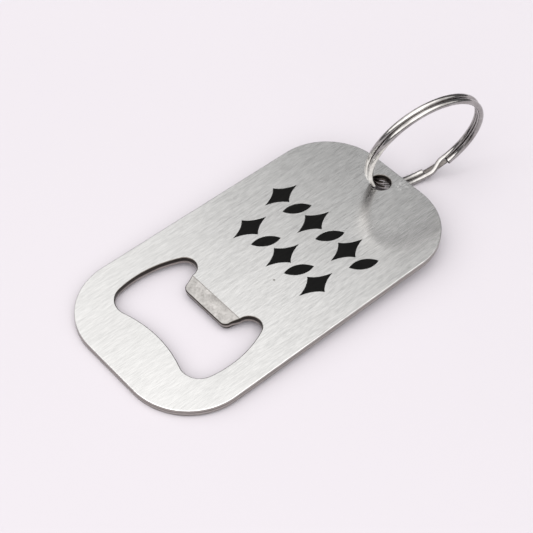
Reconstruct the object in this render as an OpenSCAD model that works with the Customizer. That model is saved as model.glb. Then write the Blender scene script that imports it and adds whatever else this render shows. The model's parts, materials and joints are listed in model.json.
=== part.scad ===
// Keychain bottle opener: a flat stamped steel plate with a crown-cap opening and a bent pry tooth,
// hung on a two-turn split ring. It rests on a table with the ring standing on edge.
// Millimetres. Z is up, z = 0 is the table, +Y runs along the plate towards the ring, X across it.
// The plate's own frame has its centre at the middle of the top face, before it is tilted to rest.

/* [Plate] */
// length of the plate along Y
plate_l = 75; // [60:0.5:100]
// width of the plate along X
plate_w = 40; // [32:0.5:50]
// sheet thickness
plate_t = 1.6; // [1.2:0.1:3]
// radius of the four outer corners
corner_r = 13.25; // [4:0.25:18]

/* [Key ring hole] */
// diameter of the hole
hole_d = 4.3; // [3:0.1:6]
// from the hole's centre to the plate's ring end
hole_edge = 4.4; // [3:0.1:8]
// from the plate's centre line to the hole's centre, which was punched a little to one side
hole_x = -0.8; // [-2:0.1:2]

/* [Cap opening] */
// half of the opening's greatest width
open_half = 13.95; // [11:0.05:16]
// from the opener end of the plate to the opening's lowest curve
open_margin = 9.43; // [6:0.05:12]
// from the opener end to the top of the two pockets beside the tooth
pocket_top = 27.95; // [24:0.05:32]
// radius of each bowed side
side_r = 22.5; // [15:0.5:40]
// each bowed side is widest this far below the middle of its own height
bow_drop = 2.4; // [0:0.1:5]
// radius of each lower corner
low_r = 4; // [2:0.1:5]
// radius of each pocket beside the tooth
pocket_r = 2.5; // [1.5:0.1:3]
// rise of the lower edge at its middle, where it bows up into the opening
hump = 1.61; // [0.5:0.05:2.5]

/* [Pry tooth] */
// length of the tooth from its crease to its tip
tooth_l = 3.3; // [2:0.1:6]
// width at the crease
tooth_root_w = 14.2; // [8:0.1:18]
// width at the tip
tooth_tip_w = 12.8; // [6:0.1:16]
// radius of the two tip corners
tooth_r = 1.5; // [0.2:0.1:2]
// angle the tooth is bent down at the crease
tooth_bend = 11; // [0:1:25]

/* [Split ring] */
// diameter of the ring's wire
wire_d = 1.2; // [0.8:0.05:2]
// radius of the circle that the wire's centre follows
coil_r = 13.05; // [9:0.05:18]
// gap between the two turns
coil_gap = 0.05; // [0.02:0.01:0.3]
// where the turn on the far side ends, in degrees round the ring from its foot
far_end = -31; // [-60:1:0]
// where the turn on the near side begins
near_end = -6.8; // [-20:0.1:10]
// where the wire starts to cross from the near turn to the far turn, and where it arrives
cross = [-25, -10.5];
// the wire is pressed flat where it crosses: half of that rib's width along the ring's axis
rib_half = 0.77; // [0.3:0.01:1.2]
// and half of its thickness, measured across the ring
rib_thin = 0.25; // [0.2:0.01:0.6]
// gap left between the rib and each cut end, in degrees round the ring
rib_gap = 0.5; // [0.2:0.1:5]

/* [Resting pose] */
// where the wire's centre passes the plate's mid-plane, measured from the hole's centre
seat = [-0.45, -0.33];
// angle of the ring's centre above the plate, seen from the hole
ring_rise = 44.6; // [0:0.1:60]
// sideways lean of the ring
ring_lean = 10.1; // [-20:0.1:20]
// turn of the ring about the plate's normal
ring_yaw = -12.3; // [-30:0.1:30]

/* [Hidden] */
$fn = 96;
eps = 0.01;
pocket_y = pocket_top - plate_l / 2 - pocket_r;
low_y = open_margin - plate_l / 2 + low_r;
crease_y = pocket_y;
side_y = (pocket_y + low_y) / 2 - bow_drop;
side_x = open_half - side_r;

// a corner circle of radius r at height y that touches the bowed side from inside
function corner_x(y, r) = side_x + sqrt(pow(side_r - r, 2) - pow(y - side_y, 2));
pocket_x = corner_x(pocket_y, pocket_r);
low_x = corner_x(low_y, low_r);

// the lower edge is an arc that touches both lower corner circles
hump_rise = low_r - hump;
hump_r = (pow(low_x, 2) + pow(hump_rise, 2) - pow(low_r, 2)) / (2 * (low_r - hump_rise));
hump_y = low_y - hump_rise - hump_r;
touch = [low_x, low_y] * (hump_r / (hump_r + low_r))
    + [0, hump_y] * (low_r / (hump_r + low_r));

hole_y = plate_l / 2 - hole_edge;
wire_r = wire_d / 2;
layer = (wire_d + coil_gap) / 2;
pivot = [hole_x + seat[0], hole_y + seat[1], -plate_t / 2];
spin = [ring_rise, ring_lean, ring_yaw];

function turn_x(v, a) = [v[0], v[1] * cos(a) - v[2] * sin(a), v[1] * sin(a) + v[2] * cos(a)];
function turn_y(v, a) = [v[0] * cos(a) + v[2] * sin(a), v[1], v[2] * cos(a) - v[0] * sin(a)];
function turn_z(v, a) = [v[0] * cos(a) - v[1] * sin(a), v[0] * sin(a) + v[1] * cos(a), v[2]];
function spun(v) = turn_z(turn_y(turn_x(v, spin[0]), spin[1]), spin[2]);
ring_axis = spun([1, 0, 0]);
ring_centre = pivot + spun([0, coil_r, 0]);

// the ring's lowest point once the plate is tilted by a, in the plate's frame
function ring_foot(a) =
    let (down = [0, -sin(a), -cos(a)], along = down * ring_axis)
    let (out = down - along * ring_axis)
    ring_centre + coil_r * out / norm(out) + sign(along) * layer * ring_axis + wire_r * down;
// the tilt at which that point and the plate's opener end lie on one level
function rest_tilt(a, steps) = steps == 0 ? a :
    let (foot = ring_foot(a))
    rest_tilt(atan2(-plate_t - foot[2], foot[1] + plate_l / 2), steps - 1);
tilt = rest_tilt(2, 6);

// the farthest reach of the ring along +Y once tilted, which sets the middle of the whole object
function reach_y() =
    let (axis = turn_x(ring_axis, tilt), centre = turn_x(ring_centre, tilt))
    centre[1] + coil_r * sqrt(1 - pow(axis[1], 2)) + layer * abs(axis[1]) + wire_r;
near_y = turn_x([0, -plate_l / 2, -plate_t], tilt)[1];
back_y = turn_x([0, -plate_l / 2, 0], tilt)[1];
middle_y = (min(near_y, back_y) + reach_y()) / 2;
table_z = turn_x([0, -plate_l / 2, -plate_t], tilt)[2];

// lays the plate's frame down on the table
module at_rest() {
    translate([0, -middle_y, -table_z])
        rotate([tilt, 0, 0])
        children();
}

module rounded_rect(l, w, r) {
    square([w, l - 2 * r], center = true);
    square([w - 2 * r, l], center = true);
    for (x = [-1, 1], y = [-1, 1])
        translate([x * (w / 2 - r), y * (l / 2 - r)])
            circle(r, $fn = 2 * $fn);
}

// the two bowed sides, down to the level of the lower corners
module bowed_sides() {
    intersection() {
        translate([side_x, side_y])
            circle(side_r, $fn = 3 * $fn);
        translate([-side_x, side_y])
            circle(side_r, $fn = 3 * $fn);
        translate([-open_half, low_y])
            square([2 * open_half, crease_y - low_y]);
    }
}

// the foot of the opening, between its two lower corners and above the raised lower edge
module opening_foot() {
    difference() {
        polygon([[-low_x, low_y + eps], [low_x, low_y + eps], touch, [-touch[0], touch[1]]]);
        translate([0, hump_y])
            circle(hump_r, $fn = 3 * $fn);
    }
}

module cap_opening() {
    bowed_sides();
    opening_foot();
    for (x = [-1, 1]) {
        translate([x * pocket_x, pocket_y])
            circle(pocket_r);
        translate([x * low_x, low_y])
            circle(low_r);
    }
}

// the tooth's outline, flat, running from the crease towards -Y
module tooth_outline() {
    root = tooth_root_w / 2;
    tip = tooth_tip_w / 2;
    polygon([[-root, 0], [root, 0], [tip, tooth_r - tooth_l], [-tip, tooth_r - tooth_l]]);
    translate([tooth_r - tip, -tooth_l])
        square([tooth_tip_w - 2 * tooth_r, 2 * tooth_r]);
    for (x = [-1, 1])
        translate([x * (tip - tooth_r), tooth_r - tooth_l])
            circle(tooth_r);
}

// one stamped sheet: outer shape, ring hole, cap opening, and the tooth bent down at its crease
module opener_plate() {
    color([0.72, 0.72, 0.71])
        at_rest()
        union() {
            translate([0, 0, -plate_t])
                linear_extrude(plate_t)
                difference() {
                    rounded_rect(plate_l, plate_w, corner_r);
                    cap_opening();
                    translate([hole_x, hole_y])
                        circle(d = hole_d);
                }
            translate([0, crease_y, 0])
                rotate([tooth_bend, 0, 0])
                translate([0, 0, -plate_t])
                linear_extrude(plate_t)
                tooth_outline();
        }
}

// a point on the wire's centre line, a degrees round from the ring's foot, in the ring's own frame
function on_coil(a, z) = [coil_r * cos(a), coil_r * sin(a), z];

module turn_of_wire(from, to, z) {
    translate([0, 0, z])
        rotate([0, 0, from])
        rotate_extrude(angle = to - from, $fn = 2 * $fn)
        translate([coil_r, 0])
        circle(wire_r, $fn = 32);
}

// the short slanted length where the wire crosses from one turn to the other
module crossing() {
    from = on_coil(cross[0], layer);
    to = on_coil(cross[1], -layer);
    run = to - from;
    translate(from)
        rotate([0, acos(run[2] / norm(run)), atan2(run[1], run[0])])
        cylinder(r = wire_r, h = norm(run), $fn = 32);
    for (end = [from, to])
        translate(end)
            sphere(wire_r + eps, $fn = 32);
}

// the flat rib pressed out of the wire on both sides of the crossing, from one cut end to the other
module pressed_rib() {
    rotate([0, 0, far_end + rib_gap])
        rotate_extrude(angle = near_end - far_end - 2 * rib_gap, $fn = 2 * $fn)
        translate([coil_r, 0])
        scale([rib_thin, rib_half])
        circle(1, $fn = 32);
}

// one wire wound twice round: the near turn, the crossing, then the far turn
module split_ring() {
    color([0.8, 0.79, 0.78])
        at_rest()
        translate(pivot)
        rotate(spin)
        translate([0, coil_r, 0])
        rotate([0, 90, 0])
        union() {
            turn_of_wire(near_end, cross[0] + 360, layer);
            turn_of_wire(cross[1], far_end + 360, -layer);
            crossing();
            pressed_rib();
        }
}

opener_plate();
split_ring();
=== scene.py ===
"""A keychain bottle opener on a pale floor: a brushed steel plate with a motif, and its split ring."""
import json
import math

import bmesh
import bpy
from mathutils import Matrix, Vector


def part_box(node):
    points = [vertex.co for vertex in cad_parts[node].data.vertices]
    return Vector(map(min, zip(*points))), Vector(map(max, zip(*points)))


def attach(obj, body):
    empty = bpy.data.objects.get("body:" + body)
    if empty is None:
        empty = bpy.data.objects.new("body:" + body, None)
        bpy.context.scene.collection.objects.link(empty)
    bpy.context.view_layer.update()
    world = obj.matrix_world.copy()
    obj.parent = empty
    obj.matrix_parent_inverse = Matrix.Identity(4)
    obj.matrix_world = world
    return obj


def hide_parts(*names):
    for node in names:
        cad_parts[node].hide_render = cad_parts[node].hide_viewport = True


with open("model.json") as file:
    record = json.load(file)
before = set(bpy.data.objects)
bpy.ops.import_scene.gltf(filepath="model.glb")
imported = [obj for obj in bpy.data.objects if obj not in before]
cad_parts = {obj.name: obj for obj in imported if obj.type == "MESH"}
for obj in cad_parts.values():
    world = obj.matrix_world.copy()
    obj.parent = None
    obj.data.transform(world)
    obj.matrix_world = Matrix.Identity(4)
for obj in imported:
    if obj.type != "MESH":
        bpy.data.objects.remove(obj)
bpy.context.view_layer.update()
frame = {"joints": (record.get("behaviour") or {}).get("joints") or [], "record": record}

MM = 0.001

# ---------------------------------------------------------------- sizes, in millimetres

PLATE_L, PLATE_W, PLATE_T = 75.0, 40.0, 1.6
CORNER_R = 13.25
HOLE = Vector((-0.8, PLATE_L / 2 - 4.4))
HOLE_R = 2.15
EDGE_ROUND = 0.16

SIDE_R, LOW_R, POCKET_R, HUMP = 22.5, 4.0, 2.5, 1.61
POCKET_Y = 27.95 - PLATE_L / 2 - POCKET_R
LOW_Y = 9.43 - PLATE_L / 2 + LOW_R
SIDE = Vector((13.95 - SIDE_R, (POCKET_Y + LOW_Y) / 2 - 2.4))
CREASE_Y = POCKET_Y
TOOTH_L, TOOTH_ROOT, TOOTH_TIP, TOOTH_R = 3.3, 7.1, 6.4, 1.5
TOOTH_BEND = math.radians(11)

WIRE_R, COIL_R, LAYER = 0.6, 13.05, 0.625
NEAR_END, CROSS, FAR_END = -6.8, (335.0, 349.5), 689.0
RIB_HALF, RIB_THIN, RIB_GAP = 0.77, 0.25, 0.5


def corner_x(y, r):
    """Where a circle of radius r at height y touches the bowed side of the opening from inside."""
    return SIDE.x + math.sqrt((SIDE_R - r) ** 2 - (y - SIDE.y) ** 2)


POCKET = Vector((corner_x(POCKET_Y, POCKET_R), POCKET_Y))
LOW = Vector((corner_x(LOW_Y, LOW_R), LOW_Y))
HUMP_R = (LOW.x**2 + (LOW_R - HUMP) ** 2 - LOW_R**2) / (2 * HUMP)
HUMP_MID = Vector((0, LOW_Y - LOW_R + HUMP - HUMP_R))

# ---------------------------------------------------------------- places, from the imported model

record = frame["record"]
mounts = {m["name"]: m for m in record["mounts"]}
plate_up = Vector(mounts["cap_opening"]["axis"]).normalized()
tilt = math.atan2(-plate_up.y, plate_up.z)
plate_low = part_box("opener_plate")[0]
end_run = PLATE_L / 2 * MM * math.cos(tilt)
end_drop = (PLATE_L / 2 * math.sin(tilt) + PLATE_T * math.cos(tilt)) * MM
PLATE_FRAME = (
    Matrix.Translation((0, plate_low.y + end_run, end_drop))
    @ Matrix.Rotation(tilt, 4, "X")
    @ Matrix.Scale(MM, 4)
)
# coordinates turned level with the plate, and the height of its top face in them
turned_level = Matrix.Rotation(-tilt, 4, "X")
plate_top = (turned_level @ PLATE_FRAME.translation).z

ring_axis = Vector(mounts["ring_loop"]["axis"]).normalized()
ring_mid = Vector(mounts["ring_loop"]["pos_m"])
hinge = Vector(frame["joints"][0]["pos_m"])
ring_side = (ring_mid - hinge).normalized()
ring_foot = ring_side.cross(ring_axis).normalized()
RING_FRAME = (
    Matrix.Translation(ring_mid)
    @ Matrix((ring_foot, ring_side, ring_axis)).transposed().to_4x4()
    @ Matrix.Scale(MM, 4)
)

# ---------------------------------------------------------------- outlines


def arc(mid, r, start, end, step=3.0):
    """Points on an arc, in degrees, from start to end inclusive."""
    n = max(2, math.ceil(abs(end - start) / step))
    angles = [math.radians(start + (end - start) * i / n) for i in range(n + 1)]
    return [Vector((mid[0] + r * math.cos(a), mid[1] + r * math.sin(a))) for a in angles]


def bearing(v):
    return math.degrees(math.atan2(v[1], v[0]))


def mirrored(half):
    """A half outline that starts and ends on the centre line, closed by its mirror image."""
    return half + [Vector((-p.x, p.y)) for p in reversed(half[1:-1])]


def without_repeats(points):
    kept = []
    for p in points:
        if not kept or (p - kept[-1]).length > 1e-3:
            kept.append(p)
    return kept


def plate_outline():
    x, y = PLATE_W / 2 - CORNER_R, PLATE_L / 2 - CORNER_R
    half = [Vector((0, PLATE_L / 2))]
    half += arc((x, y), CORNER_R, 90, 0)
    half += arc((x, -y), CORNER_R, 0, -90)
    half += [Vector((0, -PLATE_L / 2))]
    return mirrored(without_repeats(half))


def opening_outline():
    """The cap opening with the flat tooth's outline in it, from the tooth's tip round to the hump."""
    tip_y = CREASE_Y - TOOTH_L
    half = [Vector((0, tip_y))]
    half += arc((TOOTH_TIP - TOOTH_R, tip_y + TOOTH_R), TOOTH_R, -90, 0, 15)
    half += [Vector((TOOTH_ROOT, CREASE_Y))]
    half += arc(POCKET, POCKET_R, 176, bearing(POCKET - SIDE), 6)
    half += arc(SIDE, SIDE_R, bearing(POCKET - SIDE), bearing(LOW - SIDE), 1.5)
    half += arc(LOW, LOW_R, bearing(LOW - SIDE), bearing(HUMP_MID - LOW), 5)
    half += arc(HUMP_MID, HUMP_R, bearing(LOW - HUMP_MID), 90, 1.5)
    return mirrored(without_repeats(half))


def hole_outline():
    return arc(HOLE, HOLE_R, 0, 360, 5)[:-1]


def shifted(points, inset):
    """The closed outline moved by inset towards the side on its left."""
    out = []
    for i, p in enumerate(points):
        before = (p - points[i - 1]).normalized()
        after = (points[(i + 1) % len(points)] - p).normalized()
        along = before + after
        normal = Vector((-along.y, along.x)).normalized()
        sharp = max(0.5, normal.dot(Vector((-after.y, after.x))))
        out.append(p + normal * (inset / sharp))
    return out


def turned(points, counter_clockwise):
    area = sum(
        p.x * points[(i + 1) % len(points)].y - p.y * points[(i + 1) % len(points)].x
        for i, p in enumerate(points)
    )
    return points if (area > 0) == counter_clockwise else points[::-1]


# ---------------------------------------------------------------- meshes


def new_object(name, bm, materials):
    mesh = bpy.data.meshes.new(name)
    bm.normal_update()
    bm.to_mesh(mesh)
    bm.free()
    for material in materials:
        mesh.materials.append(material)
    made = bpy.data.objects.new(name, mesh)
    bpy.context.scene.collection.objects.link(made)
    return made


def rim_levels():
    """(inset, height) of the rows of points down the rounded rim, from the top face to the underside."""
    quarter = [math.radians(a) for a in (0, 30, 60, 90)]
    top = [(EDGE_ROUND * (1 - math.sin(a)), EDGE_ROUND * (math.cos(a) - 1)) for a in quarter]
    return top + [(inset, -PLATE_T - height) for inset, height in reversed(top)]


def bend_tooth(bm):
    """Turns the flat tooth down about its crease line."""
    for v in bm.verts:
        run = v.co.y - CREASE_Y
        if abs(v.co.x) < TOOTH_ROOT + 0.05 and -TOOTH_L - 0.05 < run < -1e-4:
            ease = min(1.0, -run / 0.8)
            z = v.co.z
            v.co.y = CREASE_Y + run * math.cos(TOOTH_BEND) - z * math.sin(TOOTH_BEND) * ease
            v.co.z = run * math.sin(TOOTH_BEND) + z * (1 + (math.cos(TOOTH_BEND) - 1) * ease)


def make_plate(face_metal, rim_metal, tooth_metal, wall_metal):
    bm = bmesh.new()
    levels = rim_levels()
    caps = {0: [], len(levels) - 1: []}
    loops = [turned(plate_outline(), True), turned(opening_outline(), False), turned(hole_outline(), False)]
    for points, wall_index, face_rows in zip(loops, (1, 3, 3), (2, 0, 0)):
        rows = []
        for inset, z in levels:
            rows.append([bm.verts.new((p.x, p.y, z)) for p in shifted(points, inset)])
        for level, row in enumerate(rows[:-1]):
            below = rows[level + 1]
            for i, v in enumerate(row):
                j = (i + 1) % len(row)
                wall = bm.faces.new((v, below[i], below[j], row[j]))
                wall.material_index = 0 if level < face_rows else wall_index
                wall.smooth = True
        for level in caps:
            row = rows[level]
            caps[level] += [bm.edges.get((v, row[(i + 1) % len(row)])) for i, v in enumerate(row)]
    for level, edges in caps.items():
        filled = bmesh.ops.triangle_fill(bm, edges=edges, use_beauty=True, normal=(0, 0, 1))
        faces = [g for g in filled["geom"] if isinstance(g, bmesh.types.BMFace)]
        for f in faces:
            f.material_index = 0
            if (f.normal.z > 0) == (level > 0):
                f.normal_flip()
        for e in edges:
            e.smooth = False
    near = [
        f for f in bm.faces
        if min(v.co.y for v in f.verts) < CREASE_Y - 0.01 < max(v.co.y for v in f.verts)
    ]
    cut = list({e for f in near for e in f.edges}) + list({v for f in near for v in f.verts}) + near
    bmesh.ops.bisect_plane(bm, geom=cut, dist=1e-3, plane_co=(0, CREASE_Y, 0), plane_no=(0, 1, 0))
    bend_tooth(bm)
    bm.normal_update()
    for f in bm.faces:
        mid = f.calc_center_median()
        on_tooth = abs(mid.x) < TOOTH_ROOT and CREASE_Y - TOOTH_L < mid.y < CREASE_Y
        if on_tooth and f.material_index == 0 and mid.z > -PLATE_T / 2:
            f.material_index = 2
    for e in bm.edges:
        if len(e.link_faces) == 2 and {f.material_index for f in e.link_faces} == {0, 2}:
            e.smooth = False
    bm.transform(PLATE_FRAME)
    made = new_object("plate_steel", bm, [face_metal, rim_metal, tooth_metal, wall_metal])
    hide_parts("opener_plate")
    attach(made, "opener_plate")
    return made


def wire_height(a):
    """Height of the wire's centre over the middle of the two turns, a degrees along the wire."""
    t = min(1.0, max(0.0, (a - CROSS[0]) / (CROSS[1] - CROSS[0])))
    return LAYER * (1 - 2 * t * t * (3 - 2 * t))


def wire_centre(a):
    r = math.radians(a)
    return Vector((COIL_R * math.cos(r), COIL_R * math.sin(r), wire_height(a)))


def sweep(bm, rows, first_metal, metal, cap_metal):
    """A closed tube through rows of points, its first two lengths and its two caps in metals of their own."""
    made = [[bm.verts.new(p) for p in row] for row in rows]
    for n, (row, after) in enumerate(zip(made, made[1:])):
        for k, v in enumerate(row):
            j = (k + 1) % len(row)
            f = bm.faces.new((v, row[j], after[j], after[k]))
            f.material_index = first_metal if n < 2 else metal
            f.smooth = True
    for row in (made[0][::-1], made[-1]):
        cap = bm.faces.new(row)
        cap.material_index = cap_metal
        for e in cap.edges:
            e.smooth = False


def rib_rows(sides=24, step=1.5):
    """The flat rib pressed out of the wire on both sides of the crossing."""
    start, end = FAR_END - 360 + RIB_GAP, NEAR_END + 360 - RIB_GAP
    count = round((end - start) / step)
    rows = []
    for i in range(count + 1):
        a = math.radians(start + (end - start) * i / count)
        out = Vector((math.cos(a), math.sin(a), 0))
        row = []
        for k in range(sides):
            t = 2 * math.pi * k / sides
            row.append(out * (COIL_R + RIB_THIN * math.cos(t)) + Vector((0, 0, RIB_HALF * math.sin(t))))
        rows.append(row)
    return rows


def wire_rows(sides=28, step=1.25, chamfer=0.06):
    """The wire from its near end to its far end, with a small chamfer at each."""
    count = round((FAR_END - NEAR_END) / step)
    rows = []
    for i in range(count + 1):
        a = NEAR_END + (FAR_END - NEAR_END) * i / count
        mid = wire_centre(a)
        along = (wire_centre(a + 0.2) - wire_centre(a - 0.2)).normalized()
        out = Vector((mid.x, mid.y, 0)).normalized()
        up = along.cross(out).normalized()
        out = up.cross(along)
        rows.append((mid, along, out, up, WIRE_R))
    first, last = rows[0], rows[-1]
    rows[0] = (first[0] + first[1] * chamfer, *first[1:])
    rows[-1] = (last[0] - last[1] * chamfer, *last[1:])
    rows.insert(0, (*first[:4], WIRE_R - chamfer))
    rows.append((*last[:4], WIRE_R - chamfer))
    turn = [2 * math.pi * k / sides for k in range(sides)]
    return [[mid + (out * math.cos(t) + up * math.sin(t)) * r for t in turn] for mid, _, out, up, r in rows]


def make_ring(wire_metal, cut_end_shade_metal, rib_shade_metal):
    bm = bmesh.new()
    # the wire's caps and its first lengths at the near end take the cut ends' near-black painted shade
    sweep(bm, wire_rows(), 1, 0, 1)
    # the rib's colour is painted shade; its caps take the cut ends' near-black painted shade
    sweep(bm, rib_rows(), 2, 2, 1)
    bmesh.ops.recalc_face_normals(bm, faces=bm.faces[:])
    bm.transform(RING_FRAME)
    made = new_object("ring_wire", bm, [wire_metal, cut_end_shade_metal, rib_shade_metal])
    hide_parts("split_ring")
    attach(made, "split_ring")
    return made


# ---------------------------------------------------------------- printed motif


def star_outline(mid, half_w, half_h, waist=0.3):
    """A four-pointed star with hollow sides."""
    points = []
    tips = [(half_w, 0), (0, half_h), (-half_w, 0), (0, -half_h)]
    for i, tip in enumerate(tips):
        after = tips[(i + 1) % 4]
        hollow = Vector(((tip[0] + after[0]) * waist, (tip[1] + after[1]) * waist))
        for k in range(8):
            t = k / 8
            a, b, c = Vector(tip), hollow, Vector(after)
            points.append(Vector(mid) + a * (1 - t) ** 2 + b * (2 * t * (1 - t)) + c * t * t)
    return points


def leaf_outline(mid, half_l, half_w, lean):
    """A slim leaf, its long axis lean degrees from +Y."""
    r = (half_l**2 + half_w**2) / (2 * half_w)
    half = bearing((r - half_w, half_l))
    right = arc((half_w - r, 0), r, -half, half, 6)
    left = arc((r - half_w, 0), r, 180 - half, 180 + half, 6)
    turn = Matrix.Rotation(math.radians(lean), 2)
    return [Vector(mid) + turn @ p for p in right[:-1] + left[:-1]]


def motif_shapes():
    """Two rows of hollow-sided stars, with leaves leaning between them."""
    pitch = 4.85
    for y, start, count in ((15.1, -2.5, 6), (4.5, -2.0, 5)):
        for column in range(count):
            mid = (0.6 + (start + column) * pitch, y)
            if column % 2 == 0:
                yield star_outline(mid, 2.5, 4.4)
            else:
                yield leaf_outline(mid, 3.1, 1.25, -24)


def make_motif(ink):
    bm = bmesh.new()
    thick = 0.02
    for points in motif_shapes():
        top = [bm.verts.new((p.x, p.y, thick)) for p in points]
        low = [bm.verts.new((p.x, p.y, 0.002)) for p in points]
        face = bm.faces.new(top)
        bm.faces.new(low[::-1])
        for i in range(len(points)):
            j = (i + 1) % len(points)
            bm.faces.new((top[i], low[i], low[j], top[j]))
    bmesh.ops.recalc_face_normals(bm, faces=bm.faces[:])
    bm.transform(PLATE_FRAME)
    made = new_object("printed_motif", bm, [ink])
    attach(made, "opener_plate")
    return made


# ---------------------------------------------------------------- materials


class Nodes:
    """A material and short ways to add nodes to it."""

    def __init__(self, name):
        self.material = bpy.data.materials.new(name)
        self.material.use_nodes = True
        self.tree = self.material.node_tree
        self.shader = self.tree.nodes["Principled BSDF"]

    def add(self, kind, values=None, **settings):
        made = self.tree.nodes.new(kind)
        for key, value in settings.items():
            setattr(made, key, value)
        for key, value in (values or {}).items():
            made.inputs[key].default_value = value
        return made

    def link(self, out, into):
        self.tree.links.new(out, into)

    def place(self, scale):
        """Coordinates in the plate's own directions, scaled along each."""
        coord = self.add("ShaderNodeTexCoord")
        level = self.add("ShaderNodeMapping", {"Rotation": (-tilt, 0, 0)})
        scaled = self.add("ShaderNodeMapping", {"Scale": scale})
        self.link(coord.outputs["Object"], level.inputs["Vector"])
        self.link(level.outputs["Vector"], scaled.inputs["Vector"])
        return scaled.outputs["Vector"]

    def noise(self, where, scale=1.0, detail=3.0, rough=0.5, distort=0.0):
        made = self.add(
            "ShaderNodeTexNoise",
            {"Scale": scale, "Detail": detail, "Roughness": rough, "Distortion": distort},
        )
        self.link(where, made.inputs["Vector"])
        return made.outputs["Fac"]

    def near_spot(self, x, y, r):
        """1 at a point on the plate's top face, fading to 0 at r, all in millimetres."""
        spot = turned_level @ (PLATE_FRAME @ Vector((x, y, 0)))
        gap = self.add("ShaderNodeVectorMath", operation="DISTANCE")
        self.link(self.place((1, 1, 1)), gap.inputs[0])
        gap.inputs[1].default_value = spot
        return self.span(gap.outputs["Value"], 1.0, 0.0, 0.0, r * MM)

    def ramp(self, value, stops):
        made = self.add("ShaderNodeValToRGB")
        while len(made.color_ramp.elements) < len(stops):
            made.color_ramp.elements.new(0.5)
        for element, (at, colour) in zip(made.color_ramp.elements, stops):
            element.position = at
            element.color = (*colour, 1) if isinstance(colour, tuple) else (colour,) * 3 + (1,)
        self.link(value, made.inputs["Fac"])
        return made.outputs["Color"]

    def span(self, value, low, high, from_low=0.0, from_high=1.0):
        made = self.add(
            "ShaderNodeMapRange",
            {"From Min": from_low, "From Max": from_high, "To Min": low, "To Max": high},
        )
        self.link(value, made.inputs["Value"])
        return made.outputs["Result"]

    def mix(self, a, b, factor, blend="MIX"):
        made = self.add("ShaderNodeMix", data_type="RGBA", blend_type=blend)
        if isinstance(factor, float):
            made.inputs["Factor"].default_value = factor
        else:
            self.link(factor, made.inputs["Factor"])
        self.link(a, made.inputs["A"])
        self.link(b, made.inputs["B"])
        return made.outputs["Result"]

    def bump(self, height, distance, strength=1.0):
        made = self.add("ShaderNodeBump", {"Distance": distance, "Strength": strength})
        self.link(height, made.inputs["Height"])
        self.link(made.outputs["Normal"], self.shader.inputs["Normal"])

    def feed(self, **sockets):
        for name, source in sockets.items():
            socket = self.shader.inputs[name.replace("_", " ")]
            if isinstance(source, (int, float, tuple)):
                socket.default_value = source
            else:
                self.link(source, socket)


def face_material():
    """Brushed stainless steel: strokes along the plate, fainter near the opening, and faint clouding."""
    m = Nodes("brushed_face")
    fine = m.noise(m.place((4600, 520, 520)), 1.0, 3.0, 0.6)
    strokes = m.noise(m.place((1900, 200, 200)), 1.0, 2.0, 0.5)
    scratches = m.noise(m.place((5200, 110, 110)), 1.0, 1.0, 0.5)
    cloud = m.noise(m.place((110, 60, 60)), 1.0, 3.0, 0.5)
    grain = m.mix(m.ramp(fine, [(0.32, 0.0), (0.68, 1.0)]), m.ramp(strokes, [(0.3, 0.0), (0.7, 1.0)]), 0.4)
    marks = m.ramp(scratches, [(0.25, 0.0), (0.35, 1.0)])
    both = m.mix(marks, grain, 0.72)
    tone = m.ramp(both, [(0.15, (0.375, 0.377, 0.371)), (0.85, (0.795, 0.795, 0.786))])
    even = m.ramp(both, [(0.0, (0.60, 0.60, 0.594)), (1.0, (0.61, 0.61, 0.604))])
    split = m.add("ShaderNodeSeparateXYZ")
    m.link(m.place((1, 1, 1)), split.inputs["Vector"])
    tone = m.mix(even, tone, m.span(split.outputs["Y"], 0.3, 1.0, -30 * MM, 30 * MM))
    patch = m.ramp(cloud, [(0.3, (0.94, 0.94, 0.94)), (0.7, (1.0, 1.0, 1.0))])
    tone = m.mix(tone, patch, 1.0, "MULTIPLY")
    flakes = m.noise(m.place((1700, 1100, 1100)), 1.0, 4.0, 0.7)
    scuff = m.add("ShaderNodeMath", operation="MULTIPLY")
    m.link(m.near_spot(2.9, 35.6, 1.8), scuff.inputs[0])
    m.link(m.ramp(flakes, [(0.5, 0.0), (0.6, 1.0)]), scuff.inputs[1])
    pale = m.ramp(flakes, [(0.0, (0.86, 0.86, 0.85)), (1.0, (0.95, 0.95, 0.94))])
    tone = m.mix(tone, pale, m.span(scuff.outputs["Value"], 0.0, 1.0, 0.0, 0.5))
    # a small pit, not modelled in shape: its shade is painted as a dark spot on the face
    pit_shade = m.ramp(m.near_spot(4.2, -0.9, 0.3), [(0.1, (1.0, 1.0, 1.0)), (0.5, (0.35, 0.33, 0.31))])
    tone = m.mix(tone, pit_shade, 1.0, "MULTIPLY")
    m.feed(Base_Color=tone, Metallic=1.0, Roughness=m.span(both, 0.285, 0.235))
    m.bump(fine, 0.0000015)
    return m.material


def rim_tones(name, tones, rough):
    """A sheared and ground edge: bands of tone down the sheet's thickness, with fine lines and grit."""
    m = Nodes(name)
    lines = m.noise(m.place((90, 90, 4200)), 1.0, 3.0, 0.6)
    grit = m.noise(m.place((1500, 1500, 2600)), 1.0, 4.0, 0.65)
    waves = m.noise(m.place((260, 260, 260)), 1.0, 2.0, 0.5)
    split = m.add("ShaderNodeSeparateXYZ")
    m.link(m.place((1, 1, 1)), split.inputs["Vector"])
    depth = m.span(split.outputs["Z"], 1.0, 0.0, plate_top - PLATE_T * MM, plate_top)
    wander = m.add("ShaderNodeMath", operation="ADD")
    m.link(depth, wander.inputs[0])
    m.link(m.span(waves, -0.12, 0.12), wander.inputs[1])
    bands = m.ramp(wander.outputs["Value"], tones)
    wear = m.mix(m.ramp(lines, [(0.35, 0.45), (0.65, 1.0)]), m.ramp(grit, [(0.3, 0.4), (0.7, 1.0)]), 0.4)
    m.feed(Base_Color=m.mix(bands, wear, 0.6, "MULTIPLY"), Metallic=1.0, Roughness=m.span(grit, *rough))
    m.bump(m.mix(lines, grit, 0.5), 0.00003)
    return m.material


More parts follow.
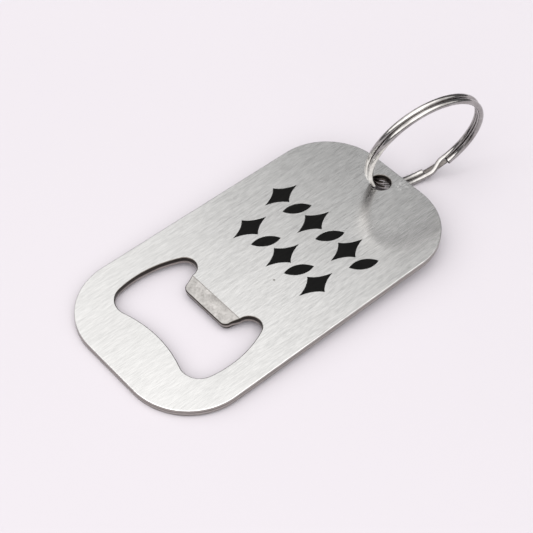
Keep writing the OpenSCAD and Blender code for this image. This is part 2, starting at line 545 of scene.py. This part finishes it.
def rim_material():
    """The plate's outer edge: ground, brownish grey, with a dark line where the shear broke away."""
    light, mid, dark = (0.52, 0.488, 0.465), (0.40, 0.368, 0.345), (0.17, 0.15, 0.137)
    tones = [(0.0, light), (0.3, mid), (0.44, dark), (0.56, light), (0.8, mid), (0.95, dark)]
    return rim_tones("ground_rim", tones, (0.42, 0.27))


def wall_material():
    """The walls of the opening and the hole: dark where the punch sheared, lighter below."""
    light, dark = (0.40, 0.36, 0.335), (0.04, 0.034, 0.03)
    tones = [(0.0, (0.13, 0.115, 0.105)), (0.1, dark), (0.55, dark), (0.72, light), (0.9, light), (1.0, dark)]
    return rim_tones("sheared_wall", tones, (0.40, 0.25))


def tooth_material():
    """The struck facet of the tooth: unbrushed, mottled and slightly pitted, with painted glints as pale
    specks and a thin painted shade line along the crease.
    """
    m = Nodes("struck_facet")
    blotch = m.noise(m.place((420, 420, 420)), 1.0, 5.0, 0.65)
    pits = m.noise(m.place((2200, 2200, 2200)), 1.0, 3.0, 0.6)
    specks = m.noise(m.place((1500, 1500, 1500)), 1.0, 1.0, 0.5)
    both = m.mix(m.ramp(blotch, [(0.35, 0.0), (0.68, 1.0)]), m.ramp(pits, [(0.3, 0.0), (0.65, 1.0)]), 0.4)
    tone = m.ramp(both, [(0.0, (0.19, 0.182, 0.174)), (1.0, (0.47, 0.456, 0.442))])
    # painted glints: sparse pale specks lifted into the facet's colour
    bright = m.ramp(specks, [(0.76, 0.0), (0.80, 1.0)])
    tone = m.mix(tone, m.ramp(specks, [(0.0, (0.7, 0.7, 0.69)), (1.0, (0.8, 0.8, 0.79))]), bright)
    split = m.add("ShaderNodeSeparateXYZ")
    m.link(m.place((1, 1, 1)), split.inputs["Vector"])
    # painted shade: a thin dark line along the crease, full within 0.1 mm of it and gone by 0.2 mm
    crease = (turned_level @ (PLATE_FRAME @ Vector((0, CREASE_Y, 0)))).y
    line = m.span(split.outputs["Y"], 0.0, 1.0, crease - 0.2 * MM, crease - 0.1 * MM)
    tone = m.mix(tone, m.ramp(specks, [(0.0, (0.16, 0.15, 0.14)), (1.0, (0.24, 0.23, 0.22))]), line)
    m.feed(Base_Color=tone, Metallic=1.0, Roughness=m.span(both, 0.40, 0.24))
    m.bump(both, 0.00003)
    return m.material


def wire_material():
    """Bright polished wire with faint drawing lines and a few dull patches."""
    m = Nodes("polished_wire")
    smudge = m.noise(m.place((300, 300, 300)), 1.0, 4.0, 0.6)
    drawn = m.noise(m.place((1400, 1400, 1400)), 1.0, 2.0, 0.5)
    both = m.mix(smudge, drawn, 0.35)
    tone = m.ramp(both, [(0.35, (0.27, 0.258, 0.25)), (0.65, (0.43, 0.416, 0.406))])
    m.feed(Base_Color=tone, Metallic=1.0, Roughness=m.span(both, 0.07, 0.19, 0.3, 0.7))
    m.bump(both, 0.00003)
    return m.material


def cut_end_shade_material():
    """The sheared ends of the wire: rough, and painted near black for the shade that falls on them."""
    m = Nodes("cut_wire_end_painted_shade")
    grit = m.noise(m.place((3000, 3000, 3000)), 1.0, 3.0, 0.6)
    tone = m.ramp(grit, [(0.3, (0.02, 0.018, 0.016)), (0.7, (0.09, 0.08, 0.075))])
    m.feed(Base_Color=tone, Metallic=1.0, Roughness=m.span(grit, 0.6, 0.45))
    m.bump(grit, 0.00002)
    return m.material


def rib_shade_material():
    """The wire's metal where the press flattened it: dull, and painted dark for the shade that lies on it."""
    m = Nodes("pressed_rib")
    grit = m.noise(m.place((1800, 1800, 1800)), 1.0, 4.0, 0.6)
    tone = m.ramp(grit, [(0.3, (0.07, 0.062, 0.058)), (0.7, (0.16, 0.148, 0.14))])
    m.feed(Base_Color=tone, Metallic=1.0, Roughness=m.span(grit, 0.45, 0.3))
    m.bump(grit, 0.00002)
    return m.material


def ink_material():
    """Black printing ink over the brushed steel."""
    m = Nodes("black_ink")
    grain = m.noise(m.place((4200, 300, 300)), 1.0, 3.0, 0.55)
    tone = m.ramp(grain, [(0.3, (0.0025, 0.0025, 0.0025)), (0.7, (0.0055, 0.0054, 0.0052))])
    m.feed(Base_Color=tone, Roughness=m.span(grain, 0.5, 0.6), Specular_IOR_Level=0.05)
    m.bump(grain, 0.000004)
    return m.material


def floor_material():
    m = Nodes("pale_floor")
    cloud = m.noise(m.place((6, 6, 6)), 1.0, 3.0, 0.5)
    tone = m.ramp(cloud, [(0.3, (0.465, 0.442, 0.471)), (0.7, (0.475, 0.451, 0.480))])
    m.feed(Base_Color=tone, Roughness=0.7)
    return m.material


# ---------------------------------------------------------------- the object

make_plate(face_material(), rim_material(), tooth_material(), wall_material())
make_ring(wire_material(), cut_end_shade_material(), rib_shade_material())
make_motif(ink_material())

# ---------------------------------------------------------------- floor, lights, camera

LIGHT_TURN = math.radians(-22)
LIGHT_Y, LIGHT_Z, FRONT_Y = (0.612, 0.52), (0.28, 0.45), (-0.25, -0.6)
CORE_TO, CORE_EDGE = (0.20, -0.14, 0.97), (0.78, 0.90)
CORE, BRIGHT, DIM = (3.2, 3.17, 3.14), (1.54, 1.52, 1.51), (0.21, 0.21, 0.215)
PALE = (0.87, 0.83, 0.885)


def make_floor():
    bm = bmesh.new()
    bmesh.ops.create_grid(bm, x_segments=1, y_segments=1, size=4.0)
    bmesh.ops.translate(bm, verts=bm.verts[:], vec=(0, 0, -0.00003))
    floor = new_object("floor", bm, [floor_material()])


def aim(obj, spot, roll=0.0):
    look = (Vector(spot) - obj.location).to_track_quat("-Z", "Y")
    obj.rotation_mode = "QUATERNION"
    obj.rotation_quaternion = look @ Matrix.Rotation(math.radians(roll), 4, "Z").to_quaternion()


def make_world():
    """A studio: a broad soft light overhead, brightest in its core, that stops short of the +Y side."""
    world = bpy.data.worlds.new("studio")
    bpy.context.scene.world = world
    world.use_nodes = True
    tree = world.node_tree
    coord = tree.nodes.new("ShaderNodeTexCoord")
    split = tree.nodes.new("ShaderNodeSeparateXYZ")
    turned_studio = tree.nodes.new("ShaderNodeMapping")
    turned_studio.inputs["Rotation"].default_value = (0, 0, LIGHT_TURN)
    tree.links.new(coord.outputs["Generated"], turned_studio.inputs["Vector"])
    tree.links.new(turned_studio.outputs["Vector"], split.inputs["Vector"])

    def edge(value, dark, bright):
        """0 to 1 as the value goes from dark to bright."""
        made = tree.nodes.new("ShaderNodeMapRange")
        made.interpolation_type = "SMOOTHERSTEP"
        made.inputs["From Min"].default_value = dark
        made.inputs["From Max"].default_value = bright
        tree.links.new(value, made.inputs["Value"])
        return made.outputs["Result"]

    def times(a, b):
        made = tree.nodes.new("ShaderNodeMath")
        made.operation = "MULTIPLY"
        tree.links.new(a, made.inputs[0])
        tree.links.new(b, made.inputs[1])
        return made.outputs["Value"]

    def blend(factor, a, b):
        made = tree.nodes.new("ShaderNodeMix")
        made.data_type = "RGBA"
        tree.links.new(factor, made.inputs["Factor"])
        for source, socket in ((a, made.inputs["A"]), (b, made.inputs["B"])):
            if isinstance(source, tuple):
                socket.default_value = (*source, 1)
            else:
                tree.links.new(source, socket)
        return made.outputs["Result"]

    towards = tree.nodes.new("ShaderNodeVectorMath")
    towards.operation = "DOT_PRODUCT"
    tree.links.new(coord.outputs["Generated"], towards.inputs[0])
    towards.inputs[1].default_value = CORE_TO
    overhead = times(edge(split.outputs["Z"], *LIGHT_Z), edge(split.outputs["Y"], *LIGHT_Y))
    studio = blend(overhead, DIM, BRIGHT)
    studio = blend(edge(towards.outputs["Value"], *CORE_EDGE), studio, CORE)
    front = times(edge(split.outputs["Z"], *LIGHT_Z), edge(split.outputs["Y"], *FRONT_Y))
    studio = blend(front, studio, CORE)
    path = tree.nodes.new("ShaderNodeLightPath")
    seen = blend(path.outputs["Is Camera Ray"], studio, PALE)
    tree.links.new(seen, tree.nodes["Background"].inputs["Color"])


def make_camera():
    data = bpy.data.cameras.new("camera")
    data.lens = 93.62
    data.sensor_width = 36.0
    data.clip_start, data.clip_end = 0.01, 20.0
    camera = bpy.data.objects.new("camera", data)
    bpy.context.scene.collection.objects.link(camera)
    camera.location = (0.127713, -0.136307, 0.205351)
    aim(camera, (-0.000163, -0.007438, 0.002), 4.691)
    bpy.context.scene.camera = camera


make_floor()
make_world()
make_camera()
bpy.context.scene.view_settings.view_transform = "Standard"
